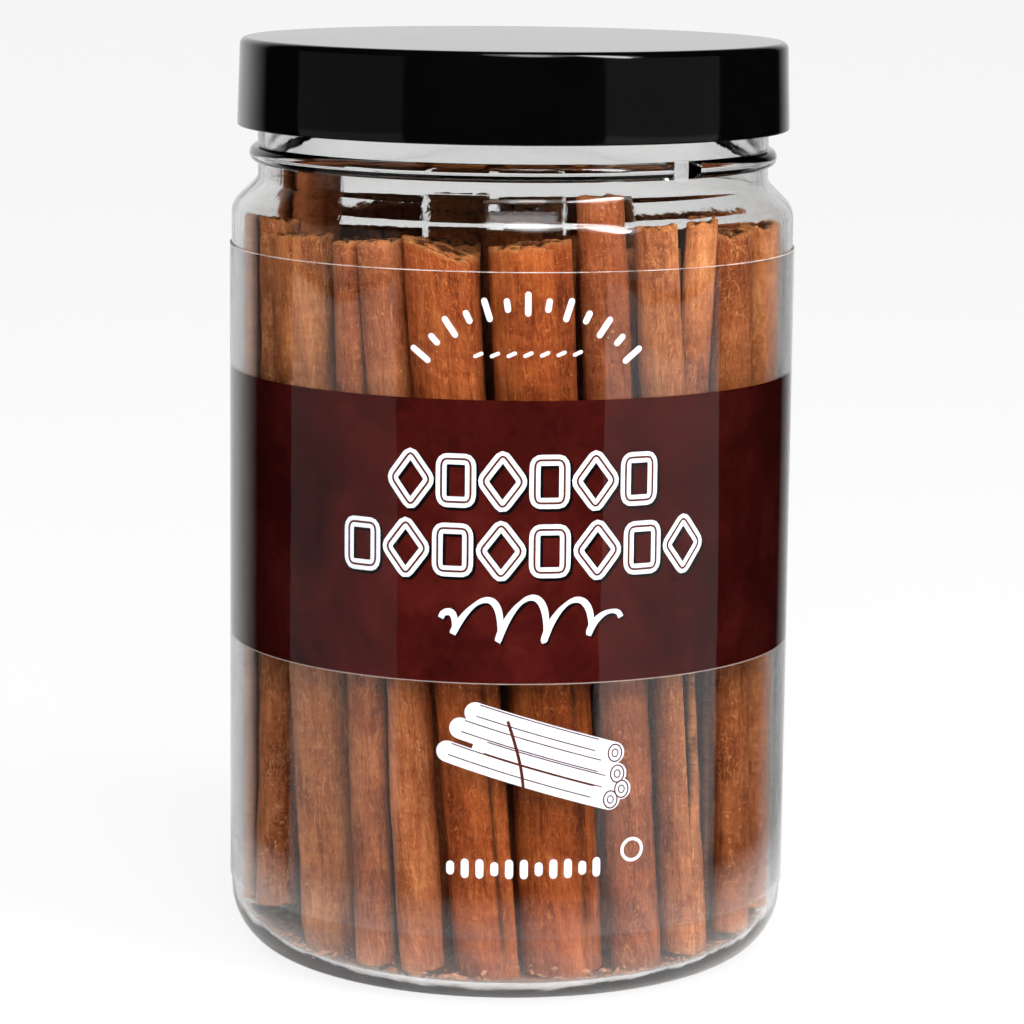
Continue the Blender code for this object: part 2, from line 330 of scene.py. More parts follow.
def edge_material():
    """The cut edge of the film, painted pale here and there as a painted highlight where it catches a little light."""
    n = Nodes("film_edge")
    coords = n.add("TexCoord").outputs["Object"]
    broken = n.noise(coords, 150.0, 4.0, 0.7)
    pale = n.principled(Base_Color=(0.80, 0.74, 0.70, 1.0), Roughness=0.5, IOR=1.45)
    clear = n.add("BsdfTransparent")
    mix = n.add("MixShader")
    n.link(n.ramp(broken, [(0.38, 0.12), (0.62, 0.60)]), mix.inputs[0])
    n.link(clear.outputs[0], mix.inputs[1])
    n.link(pale.outputs[0], mix.inputs[2])
    return n.finish(mix.outputs[0])


def ink_material(name, colour, speckle):
    n = Nodes(name)
    coords = n.add("TexCoord").outputs["Object"]
    tone = n.noise(coords, 800.0, 3.0)
    low = tuple(c * (1 - speckle) for c in colour)
    shader = n.principled(Base_Color=n.ramp(tone, [(0.3, low), (0.6, colour)]), Roughness=0.6, IOR=1.45)
    shader.inputs["Specular IOR Level"].default_value = 0.0
    return n.finish(shader.outputs[0])


def bark_material():
    """Fibrous bark. "sheet" holds mm along the sheet, mm along the stick and a
    shift for each stick; "tint" a colour for each stick, partly painted light; the wear and painted shade attribute
    marks cut edges, cracks, painted near-black as painted shade, and the inside of the roll, painted darker, partly as
    its own colour and partly as painted shade."""
    n = Nodes("cinnamon_bark")
    sheet = n.add("Attribute", attribute_name="sheet").outputs["Vector"]
    tint = n.add("Attribute", attribute_name="tint").outputs["Color"]
    wear_and_painted_shade = n.add("Attribute", attribute_name="wear_and_painted_shade").outputs["Color"]
    parts = n.add("SeparateColor")
    n.link(wear_and_painted_shade, parts.inputs[0])
    cut, crack, inner = parts.outputs[0], parts.outputs[1], parts.outputs[2]

    mottle = n.noise(n.scaled(sheet, (0.17, 0.05, 1.0)), 1.0, 4.0, 0.6, 0.5)
    fibres = n.noise(n.scaled(sheet, (1.25, 0.10, 1.0), (7.0, 3.0, 0.0)), 1.0, 5.0, 0.65, 0.6)
    fine = n.noise(n.scaled(sheet, (3.8, 0.55, 1.0), (3.0, 9.0, 0.0)), 1.0, 4.0, 0.75, 0.4)
    across = n.noise(n.scaled(sheet, (0.34, 0.8, 1.0), (11.0, 1.0, 0.0)), 1.0, 4.0, 0.6, 0.8)
    grit = n.noise(n.scaled(sheet, (5.5, 3.8, 1.0)), 1.0, 3.0, 0.75)

    tone = n.math("ADD", n.math("MULTIPLY", mottle, 0.30), n.math("MULTIPLY", fibres, 0.26))
    tone = n.math("ADD", tone, n.math("MULTIPLY", fine, 0.20))
    tone = n.math("ADD", tone, n.math("MULTIPLY", across, 0.12))
    tone = n.math("ADD", tone, n.math("MULTIPLY", grit, 0.12))
    colour = n.ramp(tone, [(0.40, (0.36, 0.24, 0.18)), (0.465, (0.78, 0.67, 0.58)), (0.51, (1.02, 1.04, 1.06)),
                           (0.56, (1.34, 1.58, 1.85)), (0.615, (1.75, 2.35, 3.00))])
    stain = n.noise(n.scaled(sheet, (0.09, 0.035, 1.0), (41.0, 25.0, 0.0)), 1.0, 3.0, 0.6, 0.8)
    colour = n.mix(1.0, colour, n.ramp(stain, [(0.36, (0.72, 0.66, 0.60)), (0.62, (1.10, 1.14, 1.18))]), "MULTIPLY")
    colour = n.mix(1.0, colour, tint, "MULTIPLY")

    pale = n.mix(1.0, (1.9, 2.9, 3.9), tint, "MULTIPLY")
    hairs = n.noise(n.scaled(sheet, (0.75, 0.11, 1.0), (21.0, 5.0, 0.0)), 1.0, 2.0, 0.5, 2.2)
    ridge = n.math("ABSOLUTE", n.math("SUBTRACT", hairs, 0.5))
    colour = n.mix(n.math("MULTIPLY", n.ramp(ridge, [(0.0, 1.0), (0.014, 0.0)]), 0.70), colour, pale)
    curls = n.noise(n.scaled(sheet, (0.42, 0.17, 1.0), (31.0, 15.0, 0.0)), 1.0, 1.5, 0.5, 3.0)
    curl = n.math("ABSOLUTE", n.math("SUBTRACT", curls, 0.47))
    colour = n.mix(n.math("MULTIPLY", n.ramp(curl, [(0.0, 1.0), (0.008, 0.0)]), 0.55), colour, pale)

    specks = n.add("TexVoronoi", feature="F1")
    n.link(n.scaled(sheet, (0.5, 0.42, 1.0), (2.0, 2.0, 0.0)), specks.inputs["Vector"])
    specks.inputs["Scale"].default_value = 1.0
    speck_mask = n.ramp(specks.outputs["Distance"], [(0.05, 1.0), (0.085, 0.0)])
    colour = n.mix(n.math("MULTIPLY", speck_mask, 0.55), colour, (0.70, 0.38, 0.18))

    rough_cut = n.ramp(grit, [(0.32, (0.13, 0.040, 0.010)), (0.46, (0.42, 0.145, 0.040)),
                              (0.62, (0.68, 0.31, 0.11))])
    colour = n.mix(cut, colour, rough_cut)
    # The inside of each roll is painted much darker: partly the inner bark's own colour, partly painted shade inside
    # the roll.
    colour = n.mix(n.math("MULTIPLY", inner, 0.8), colour, (0.07, 0.020, 0.007))
    # Painted shade: cracks are painted near-black, as the shade inside them.
    colour = n.mix(n.math("MULTIPLY", crack, 0.88), colour, (0.018, 0.006, 0.003))

    height = n.math("ADD", n.math("MULTIPLY", fibres, 0.7), n.math("MULTIPLY", fine, 0.4))
    height = n.math("ADD", height, n.math("MULTIPLY", grit, 0.25))
    height = n.math("ADD", height, n.math("MULTIPLY", across, 0.25))
    normal = n.bump(height, 1.0, 0.0006)
    shader = n.principled(Base_Color=colour, Roughness=0.78, IOR=1.4, Normal=normal)
    shader.inputs["Specular IOR Level"].default_value = 0.35
    return n.finish(shader.outputs[0])


# ----------------------------------------------------------------------- jar

def shoulder_top():
    blend_r = NECK_R + NECK_ROUND * (1 - math.cos(SHOULDER_SLOPE))
    slope_r = BODY_R - SHOULDER_ROUND * (1 - math.cos(SHOULDER_SLOPE))
    slope_z = SHOULDER_Z + SHOULDER_ROUND * math.sin(SHOULDER_SLOPE)
    return slope_z + (slope_r - blend_r) * math.tan(SHOULDER_SLOPE) + NECK_ROUND * math.sin(SHOULDER_SLOPE)


def jar_profile():
    heel_r = BODY_R - HEEL_WIDTH
    slope = math.degrees(SHOULDER_SLOPE)
    inner_round = SHOULDER_ROUND - WALL
    neck_z = shoulder_top()
    rim = WALL / 2
    inner = [(0.0, FLOOR_Z), (RING_INNER_R, FLOOR_Z)]
    inner += arc(heel_r, HEEL_HEIGHT, HEEL_WIDTH - WALL, HEEL_HEIGHT - FLOOR_Z, -90, 0, 14)
    inner += [(BODY_R - WALL, z * MM) for z in range(14, 124, 6)]
    inner += arc(BODY_R - SHOULDER_ROUND, SHOULDER_Z, inner_round, inner_round, 0, slope, 6)
    blend = NECK_ROUND + WALL
    inner += arc(NECK_R + NECK_ROUND, neck_z, blend, blend, 180 + slope, 180, 5)
    inner += [(NECK_R - WALL, BEAD_Z), (NECK_R - WALL, RIM_Z - rim)]
    outer = arc(NECK_R - rim, RIM_Z - rim, rim, rim, 180, 0, 6)[1:]
    outer += [(NECK_R, BEAD_Z + BEAD_HEIGHT / 2 + 0.3 * MM)]
    outer += arc(NECK_R, BEAD_Z, BEAD_OUT, BEAD_HEIGHT / 2, 90, -90, 12)
    outer += arc(NECK_R + NECK_ROUND, neck_z, NECK_ROUND, NECK_ROUND, 180, 180 + slope, 5)
    outer += arc(BODY_R - SHOULDER_ROUND, SHOULDER_Z, SHOULDER_ROUND, SHOULDER_ROUND, slope, 0, 8)
    outer += [(BODY_R, z * MM) for z in range(122, 12, -6)]
    outer += arc(heel_r, HEEL_HEIGHT, HEEL_WIDTH, HEEL_HEIGHT, 0, -90, 16)
    outer += [(RING_INNER_R, 0.0), (RING_INNER_R - PUSH_UP_SLOPE, PUSH_UP), (0.0, PUSH_UP)]
    return inner + outer


def bead_push(angle, r, z):
    """Flattens the neck's bead where it is interrupted."""
    if abs(z - BEAD_Z) > BEAD_HEIGHT / 2 or r < NECK_R:
        return r
    for gap in BEAD_GAP_ANGLES:
        away = abs((math.degrees(angle) - gap + 180) % 360 - 180) - BEAD_GAP_DEGREES / 2
        if away < 1.0:
            return NECK_R + (r - NECK_R) * max(0.02, away)
    return r


def make_jar():
    jar = turn_profile("jar_shell", jar_profile(), turns=360, push=bead_push)
    jar.data.materials.append(jar_material())
    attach(jar, "root")
    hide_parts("jar")
    return jar


def make_lid():
    top_r = LID_HIGH.x - LID_TAPER
    inner_top = LID_HIGH.z - LID_TOP_THICKNESS
    inner_r = top_r - LID_WALL
    foot = 0.35 * MM
    profile = [(0.0, LID_HIGH.z), (top_r * 0.5, LID_HIGH.z), (top_r - 3 * MM, LID_HIGH.z)]
    profile += arc(top_r - LID_EDGE_ROUND, LID_HIGH.z - LID_EDGE_ROUND, LID_EDGE_ROUND,
                   LID_EDGE_ROUND, 90, 0, 12)
    profile += [(top_r + LID_TAPER * k / 4, LID_HIGH.z - 2 * MM - (LID_HIGH.z - LID_LOW.z - 2 * MM - foot) * k / 4)
                for k in range(1, 5)]
    profile += arc(LID_HIGH.x - foot, LID_LOW.z + foot, foot, foot, 0, -90, 4)[1:]
    profile += [(inner_r + foot, LID_LOW.z), (inner_r, LID_LOW.z + foot)]
    profile += [(inner_r, inner_top), (0.0, inner_top)]
    lid = turn_profile("lid_cap", profile)
    lid.data.materials.append(lid_material())
    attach(lid, "root")
    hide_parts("lid")
    return lid


# --------------------------------------------------------------------- label

def sleeve(name, inner_r, outer_r, low_z, high_z):
    steps = 12
    heights = [low_z + (high_z - low_z) * k / steps for k in range(steps + 1)]
    profile = [(outer_r, z) for z in reversed(heights)] + [(inner_r, z) for z in heights]
    return turn_profile(name, profile, closed=True)


def wrapped(points, radius):
    """Points (mm across the label, mm up) laid on the jar's side at this radius."""
    placed = []
    for across, z in points:
        angle = (LABEL_CENTRE + across * MM) / BODY_R
        placed.append((radius * math.sin(angle), -radius * math.cos(angle), z * MM))
    return placed


def ribbon(line, width, closed=False, steps_across=4):
    """Grid of label points along a line, as wide as width(part) there."""
    count = len(line)
    rows = []
    for i, (x, z) in enumerate(line):
        before = line[(i - 1) % count] if closed or i > 0 else line[i]
        after = line[(i + 1) % count] if closed or i < count - 1 else line[i]
        dx, dz = after[0] - before[0], after[1] - before[1]
        size = math.hypot(dx, dz) or 1.0
        half = width(i / max(1, count - 1)) / 2
        rows.append([(x - dz / size * half * s, z + dx / size * half * s)
                     for s in np.linspace(-1, 1, steps_across + 1)])
    return rows


def print_piece(name, shapes, radius, mat):
    """Thin printed shapes as one mesh. A shape is (rows of label points, closed)."""
    verts = []
    faces = []
    for rows, closed in shapes:
        count = len(rows)
        wide = len(rows[0])
        start = len(verts)
        for layer in (radius + INK, radius):
            for row in rows:
                verts += wrapped(row, layer)
        back = count * wide

        def at(i, j, layer=0):
            return start + layer * back + (i % count) * wide + j

        last = count if closed else count - 1
        for i in range(last):
            for j in range(wide - 1):
                faces.append((at(i, j), at(i, j + 1), at(i + 1, j + 1), at(i + 1, j)))
                faces.append((at(i, j, 1), at(i + 1, j, 1), at(i + 1, j + 1, 1), at(i, j + 1, 1)))
            for j in (0, wide - 1):
                faces.append((at(i, j), at(i + 1, j), at(i + 1, j, 1), at(i, j, 1)))
        if not closed:
            for i in (0, count - 1):
                for j in range(wide - 1):
                    faces.append((at(i, j), at(i, j + 1), at(i, j + 1, 1), at(i, j, 1)))
    obj = make_object(name, verts, faces, smooth=False)
    face_outwards(obj)
    obj.data.materials.append(mat)
    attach(obj, "root")
    return obj


def bar_parts(steps):
    """Shares of a bar's length, closer together towards its ends."""
    even_parts = np.linspace(0, 1, steps + 1)
    ends = 0.5 - 0.5 * np.cos(math.pi * even_parts)
    return 0.5 - 0.5 * np.cos(math.pi * ends)


def bar(x, z, length, width, angle=0.0, steps=14):
    """A rounded bar centred on (x, z), turned by angle degrees."""
    turn = math.radians(angle)
    points = []
    for part in bar_parts(steps):
        points.append((x + math.cos(turn) * (part - 0.5) * length, z + math.sin(turn) * (part - 0.5) * length))
    parts = bar_parts(steps)

    def shape(share):
        part = parts[round(share * steps)]
        from_end = min(part, 1 - part) * length
        if from_end >= width / 2:
            return width
        gap = width / 2 - from_end
        return max(0.12, 2 * math.sqrt(max(0.0, (width / 2) ** 2 - gap ** 2)))
    return ribbon(points, shape), False


def ring(x, z, radius_x, radius_z, width, steps=40):
    points = [(x + radius_x * math.cos(2 * math.pi * k / steps), z + radius_z * math.sin(2 * math.pi * k / steps))
              for k in range(steps)]
    return ribbon(points, lambda part: width, closed=True, steps_across=2), True


def even(points, spacing=0.45):
    """The closed outline through these points with points at even steps."""
    loop = np.array(points + points[:1])
    reach = np.concatenate([[0], np.cumsum(np.linalg.norm(np.diff(loop, axis=0), axis=1))])
    steps = np.linspace(0, reach[-1], int(reach[-1] / spacing) + 1)[:-1]
    return list(zip(np.interp(steps, reach, loop[:, 0]), np.interp(steps, reach, loop[:, 1])))


def rounded(corners, corner, steps=6):
    """A closed outline with its corners rounded by a quadratic bend."""
    points = []
    count = len(corners)
    for i in range(count):
        here = np.array(corners[i])
        for part in range(steps + 1):
            t = part / steps
            a = here + (np.array(corners[i - 1]) - here) * corner
            b = here + (np.array(corners[(i + 1) % count]) - here) * corner
            points.append(tuple((1 - t) ** 2 * a + 2 * t * (1 - t) * here + t * t * b))
    return even(points)


def block(x, z, wide, high, width):
    """The outline of a rounded block."""
    w, h = wide / 2, high / 2
    corners = [(x + w, z + h), (x - w, z + h), (x - w, z - h), (x + w, z - h)]
    return ribbon(rounded(corners, 0.2), lambda part: width, closed=True, steps_across=2), True


def lozenge(x, z, wide, high, width):
    corners = [(x + wide / 2, z), (x, z + high / 2), (x - wide / 2, z), (x, z - high / 2)]
    return ribbon(rounded(corners, 0.16), lambda part: width, closed=True, steps_across=2), True


def label_print():
    """Generic ornaments in the places that the label's print has."""
    pale = []
    lines = []
    shadows = []
    # An arch of short bars above the band
    arch_r, arch_x, arch_z = 21.5, 0.6, 92.9
    for k in range(13):
        angle = -52 + 104 * k / 12
        turn = math.radians(angle)
        x = arch_x + arch_r * math.sin(turn)
        z = arch_z + arch_r * math.cos(turn)
        pale.append(bar(x, z, 2.3 if k % 2 else 3.9, 1.0, 90 - angle))
    # A short line of dashes under the arch
    for k in range(7):
        pale.append(bar(0.7 + (k - 3) * 2.6, 106.3 + 0.05 * k, 1.7, 0.6, 24))
    # Two rows of lozenges and rounded blocks on the band
    for row_z, count, pitch, wide, high in ((86.3, 6, 7.4, 5.6, 7.8), (75.2, 8, 7.7, 5.8, 7.8)):
        for k in range(count):
            x = 0.6 + (k - (count - 1) / 2) * pitch
            if k % 2 == (count // 2) % 2:
                shape, w, h = block, wide * 0.84, high * 0.88
            else:
                shape, w, h = lozenge, wide * 1.16, high * 1.12
            shadows.append(shape(x + 0.35, row_z - 0.35, w, h, 2.0))
            pale.append(shape(x, row_z, w, h, 1.75))
            lines.append(shape(x, row_z, w, h, 0.34))
    # A flourish under the blocks
    line = []
    for k in range(161):
        part = k / 160
        line.append((-13.6 + 29.0 * part + 1.5 * math.sin(part * 8 * math.pi + 0.6),
                     64.2 + 3.6 * math.cos(part * 8 * math.pi) * math.sin(math.pi * part) ** 0.4))
    shadows.append((ribbon([(x + 0.3, z - 0.3) for x, z in line], lambda part: 1.0), False))
    pale.append((ribbon(line, lambda part: 0.6 + 0.55 * abs(math.sin(part * 8 * math.pi + 0.7))), False))
    bundle(pale, lines)
    # A line of small bars and a ring near the foot
    for k in range(11):
        pale.append(bar(0.9 + (k - 5) * 2.36, 23.6, 3.2 if k % 3 else 2.3, 1.3, 90))
    pale.append(ring(18.8, 26.0, 1.75, 1.75, 0.55))
    pale_ink = ink_material("pale_ink", (0.74, 0.77, 0.86), 0.06)
    line_ink = ink_material("dark_line_ink", (0.09, 0.02, 0.012), 0.2)
    shadow_ink = ink_material("dark_shadow_ink", (0.004, 0.003, 0.003), 0.2)
    print_piece("label_print_shadows", shadows, SHADOW_R, shadow_ink)
    print_piece("label_print", pale, PRINT_R, pale_ink)
    print_piece("label_print_lines", lines, LINE_R, line_ink)


def bundle(pale, lines):
    """A tied bundle of plain rods, seen from one end."""
    tilt = -17.0
    turn = math.radians(tilt)
    for x, z, length in ((4.2, 45.6, 27.0), (3.2, 42.6, 30.0), (5.4, 39.6, 27.0), (1.6, 38.6, 31.0)):
        pale.append(bar(x, z, length, 3.5, tilt, 36))
        half = length / 2 - 1.6
        end_x, end_z = x + half * math.cos(turn), z + half * math.sin(turn)
        lines.append(ring(end_x, end_z, 1.15, 1.4, 0.24))
        lines.append(ring(end_x, end_z, 0.5, 0.62, 0.2))
        for offset in (1.5, -0.4):
            lines.append(bar(x - 1.4 - offset * math.sin(turn), z + 0.4 + offset * math.cos(turn),
                             length - 7.0, 0.18, tilt, 36))
    tie = [(-0.6 + 2.6 * math.sin(math.pi * t / 2) - 1.3, 47.8 - 12.6 * t) for t in np.linspace(0, 1, 24)]
    lines.append((ribbon(tie, lambda part: 0.5), False))


def make_label():
    film = sleeve("label_film", LABEL_HIGH.x - FILM_THICKNESS, LABEL_HIGH.x, LABEL_LOW.z, LABEL_HIGH.z)
    film.data.materials.append(film_material())
    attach(film, "root")
    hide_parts("label")
    band = sleeve("label_band", BAND_R, BAND_R + INK, BAND_LOW_Z, BAND_HIGH_Z)
    band.data.materials.append(band_material())
    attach(band, "root")
    edge = sleeve("label_film_edge", LABEL_HIGH.x - FILM_THICKNESS * 0.9, LABEL_HIGH.x + 0.01 * MM,
                  LABEL_HIGH.z - 0.14 * MM, LABEL_HIGH.z)
    edge.data.materials.append(edge_material())
    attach(edge, "root")
    trim = sleeve("label_band_trim", BAND_R, BAND_R + INK, BAND_LOW_Z - 0.2 * MM, BAND_LOW_Z - 0.02 * MM)
    trim.data.materials.append(ink_material("pale_trim", (0.30, 0.22, 0.20), 0.1))
    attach(trim, "root")
    label_print()


# -------------------------------------------------------------------- sticks

# What shows on each front stick: colour (each stick's own tone, brightened as painted light on some sticks at the
# sides, where less lamp light reaches), bark in mm, turns (0 is a double roll), seam direction in degrees (90 faces the
# wall), seam opening at the foot and at half height in turns, dents in mm, cracks as (degrees, from, to) along the
# height
FRONT_LOOKS = {
    "stick_01": ((0.44, 0.142, 0.050), 1.6, 1.35, 115, 0.00, 0.00, 0.30, ((80, 0.1, 0.5),)),
    "stick_02": ((0.39, 0.116, 0.031), 1.7, 1.40, 280, 0.00, 0.00, 0.35, ((75, 0.52, 0.68),)),
    "stick_03": ((0.34, 0.090, 0.026), 1.7, 0.00, 0, 0.00, 0.00, 0.32, ((125, 0.0, 0.3),)),
    "stick_04": ((0.41, 0.088, 0.018), 2.0, 1.30, 45, 0.00, 0.00, 0.28, ((66, 0.0, 0.45), (58, 0.02, 0.16))),
    "stick_05": ((0.39, 0.080, 0.014), 1.8, 1.40, 70, 0.00, 0.00, 0.28,
                 ((78, 0.0, 0.5), (74, 0.02, 0.3))),
    "stick_06": ((0.34, 0.084, 0.024), 1.6, 1.35, 280, 0.00, 0.00, 0.30, ()),
    "stick_07": ((0.46, 0.136, 0.039), 1.2, 1.10, 123, 0.02, 0.29, 0.32, ((60, 0.1, 0.4),)),
    "stick_08": ((0.50, 0.150, 0.042), 1.1, 1.30, 280, 0.00, 0.00, 0.20, ()),
    "stick_09": ((0.38, 0.104, 0.028), 1.3, 1.25, 280, 0.00, 0.00, 0.26, ((110, 0.3, 0.6),)),
    "stick_10": ((0.44, 0.130, 0.037), 1.2, 1.25, 300, 0.00, 0.00, 0.26, ()),
}
ROLL_GAP = 0.6
CORE_GAP = 0.25


def read_stick(node):
    """Foot and top of a CAD stick: centre, direction, width and depth in mm, and
    whether it is a double roll, from its vertices."""
    co = np.array([v.co for v in node.data.vertices])
    middle = (co[:, 2].min() + co[:, 2].max()) / 2
    ends = []
    for end in (co[co[:, 2] < middle], co[co[:, 2] > middle]):
        flat = np.unique(np.round(end[:, :2], 7), axis=0)
        centre = flat.mean(0)
        for _ in range(30):
            angle = math.atan2(centre[0], -centre[1]) if np.hypot(*centre) > 1 * MM else 0.0
            across = np.array((math.cos(angle), math.sin(angle)))
            out = np.array((math.sin(angle), -math.cos(angle)))
            u = flat @ across
            w = flat @ out
            centre = across * (u.min() + u.max()) / 2 + out * (w.min() + w.max()) / 2
        slant = np.polyfit(end[:, :2] @ across, end[:, 2], 1)[0]
        ends.append({"centre": centre, "angle": angle, "width": np.ptp(u) / MM, "depth": np.ptp(w) / MM,
                     "z": float(end[:, 2].mean()), "slant": float(slant)})
    return ends[0], ends[1], len(flat) > 31


def roll_line(turns, seam, opening, width, bark, count):
    """Centre line of a sheet rolled from one edge, (count, 2) in mm."""
    start = width / 2 - bark / 2
    pitch = bark + ROLL_GAP
    turns = min(turns, (start - bark / 2 - CORE_GAP) / pitch) - opening
    swept = 2 * math.pi * turns * np.linspace(0, 1, count)
    radius = start - pitch * swept / (2 * math.pi)
    angle = math.radians(seam) + swept
    return np.stack([radius * np.cos(angle), radius * np.sin(angle)], 1)


def double_line(width, depth, bark, count):
    """Centre line of a sheet rolled from both edges, the rolls side by side."""
    start = depth / 2 - bark / 2
    lobe = width / 2 - depth / 2
    pitch = bark + ROLL_GAP
    rolled = min(1.0, (start - bark / 2 - CORE_GAP) / pitch)
    nearest = bark / 2 + ROLL_GAP / 2
    part = np.linspace(0, rolled, count // 2)
    radius = start - pitch * part
    angle = np.radians(-90 + 350 * part)
    across = lobe + radius * np.cos(angle)
    right = np.stack([nearest + softplus(across - nearest, 0.25), radius * np.sin(angle)], 1)
    left = right[::-1] * (-1, 1)
    return np.concatenate([left, right])


def softplus(value, width):
    """The larger of value and 0, with a rounded corner this wide."""
    return (value + np.sqrt(value * value + width * width)) / 2


def section(line, bark, ripple):
    """Outline loop of a strip: outside, edge, inside back, edge. ripple moves the
    outside and thins or thickens the bark, in mm."""
    along = np.gradient(line, axis=0)
    normal = np.stack([along[:, 1], -along[:, 0]], 1)
    normal /= np.linalg.norm(normal, axis=1)[:, None]
    outside = line + normal * (bark / 2 + ripple)[:, None]
    inside = line - normal * (bark / 2 - 0.4 * ripple)[:, None]
    return outside, inside


def make_stick(name, node, look, count, levels, seed, mat):
    colour, bark, turns, seam, open_foot, open_mid, dents, cracks = look
    foot, top, _ = read_stick(node)
    broad = Noise(seed)
    medium = Noise(seed + 1)
    fine = Noise(seed + 2)
    rng = np.random.default_rng(seed)
    length = (top["z"] - foot["z"]) / MM
    heights = np.linspace(0, 1, levels)
    heights = 0.5 - 0.5 * np.cos(math.pi * heights) * (1 - 0.35) - 0.35 * (0.5 - heights)
    heights = (heights - heights[0]) / (heights[-1] - heights[0])
    rough_foot = rng.uniform(0.25, 0.5)
    rough_top = rng.uniform(0.5, 0.9)
    bow = rng.uniform(-0.35, 0.35, 2)

    loops = []
    sheets = []
    wear_and_painted_shade_rows = []
    for t in heights:
        width = foot["width"] * (1 - t) + top["width"] * t
        depth = foot["depth"] * (1 - t) + top["depth"] * t
        if turns > 0:
            opening = open_foot * max(0, 1 - 2 * t) + open_mid * math.exp(-((t - 0.36) / 0.2) ** 2)
            line = roll_line(turns, seam, opening, width, bark, count)
        else:
            line = double_line(width, depth, bark, count)
        steps = np.linalg.norm(np.diff(line, axis=0), axis=1)
        s = np.concatenate([[0], np.cumsum(steps)])
        y = np.full_like(s, t * length)
        ripple = dents * broad(s / 6.5 + 9, y / 30 + 5) + 0.10 * medium(s / 1.9, y / 14)
        ripple += 0.045 * fine(s / 0.8, y / 7) + 0.03 * fine(s / 2.2 + 40, y / 1.5)
        crack = np.zeros_like(s)
        direction = np.degrees(np.arctan2(line[:, 1], line[:, 0]))
        for degrees, low, high in cracks:
            wander = degrees + 5 * medium(np.array([0.5]), np.array([t * 9.0]))[0]
            away = np.abs((direction - wander + 180) % 360 - 180)
            reach = np.clip(min(t - low, high - t) * 14, 0, 1)
            crack = np.maximum(crack, np.exp(-(away / 2.6) ** 2) * reach * (s < 2.9 * width))
        ripple -= 0.5 * crack
        outside, inside = section(line, bark * (1 + 0.1 * broad(np.array([t * 5.0]), np.array([3.0]))[0]), ripple)
        both = np.concatenate([outside, inside])
        low, high = both.min(0), both.max(0)
        scale = np.array((width, depth)) / (high - low)
        shift = (low + high) / 2
        outside = (outside - shift) * scale
        inside = (inside - shift) * scale
        edge_a = (outside[-1] + inside[-1]) / 2
        edge_b = (outside[0] + inside[0]) / 2
        loop = np.concatenate([outside, [edge_a], inside[::-1], [edge_b]])
        s_loop = np.concatenate([s, [s[-1]], s[::-1], [s[0]]])
        # The crack mask also goes to the bark's colour, where cracks are painted near-black as painted shade.
        crack_loop = np.concatenate([crack, [0], np.zeros(count), [0]])
        cut = np.zeros(len(loop))
        cut[[count, -1]] = 0.7
        # inner marks the inside of the roll, which the bark's colour paints darker: partly its own colour, partly
        # painted shade.
        inner = np.concatenate([np.zeros(count), [0.3], np.ones(count), [0.3]])
        loops.append(loop)
        sheets.append(np.stack([s_loop, np.full(len(loop), t * length)], 1))
        wear_and_painted_shade_rows.append(np.stack([cut, crack_loop, inner], 1))

    size = len(loops[0])
    points = []
    for k, t in enumerate(heights):
        centre = foot["centre"] * (1 - t) + top["centre"] * t
        angle = foot["angle"] + ((top["angle"] - foot["angle"] + math.pi) % (2 * math.pi) - math.pi) * t
        across = np.array((math.cos(angle), math.sin(angle)))
        out = np.array((math.sin(angle), -math.cos(angle)))
        sway = (bow[0] * math.sin(math.pi * t), -abs(bow[1]) * math.sin(math.pi * t))
        local = loops[k] + sway
        flat = centre + (local[:, :1] * across + local[:, 1:] * out) * MM
        z = foot["z"] + (top["z"] - foot["z"]) * t + top["slant"] * local[:, 0] * MM * t
        s = sheets[k][:, 0]
        low_end = max(0.0, 1 - t * length / 3.0)
        high_end = max(0.0, 1 - (1 - t) * length / 3.0)
        z = z + (rough_foot * low_end * np.abs(medium(s / 1.4, s * 0 + 3.3))) * MM
        z = z - (rough_top * high_end * np.abs(medium(s / 1.3 + 30, s * 0 + 8.8) + 0.6 * fine(s / 0.6, s * 0 + 1.7))) * MM
        points.append(np.concatenate([flat, z[:, None]], 1))
        fade = max(low_end, high_end)
        wear_and_painted_shade_rows[k][:, 0] = np.maximum(wear_and_painted_shade_rows[k][:, 0], 0.5 * max(0, fade * 3 - 2.2))

    verts = list(np.concatenate(points))
    sheet = list(np.concatenate(sheets))
    wear_and_painted_shade = list(np.concatenate(wear_and_painted_shade_rows))
    faces = []
    for k in range(levels - 1):
        a, b = k * size, (k + 1) * size
        for j in range(size):
            i = (j + 1) % size
            faces.append((a + j, a + i, b + i, b + j))
    for level, sign in ((0, 1), (levels - 1, -1)):
        base = level * size
        outer = [base + i for i in range(count)]
        inner_side = [base + count + 1 + (count - 1 - i) for i in range(count)]
        mids = []
        for i in range(count):
            if i == 0:
                mids.append(base + size - 1)
            elif i == count - 1:
                mids.append(base + count)
            else:
                mid = (np.array(verts[outer[i]]) + np.array(verts[inner_side[i]])) / 2
                mid[2] += sign * rng.uniform(-0.25, 0.35) * MM
                mids.append(len(verts))
                verts.append(mid)
                sheet.append(sheet[outer[i]] + np.array((0.0, 0.6)))
                wear_and_painted_shade.append(np.array((1.0, 0.0, 0.0)))
        for i in range(count - 1):
            faces.append((outer[i], outer[i + 1], mids[i + 1], mids[i]))
            faces.append((mids[i], mids[i + 1], inner_side[i + 1], inner_side[i]))

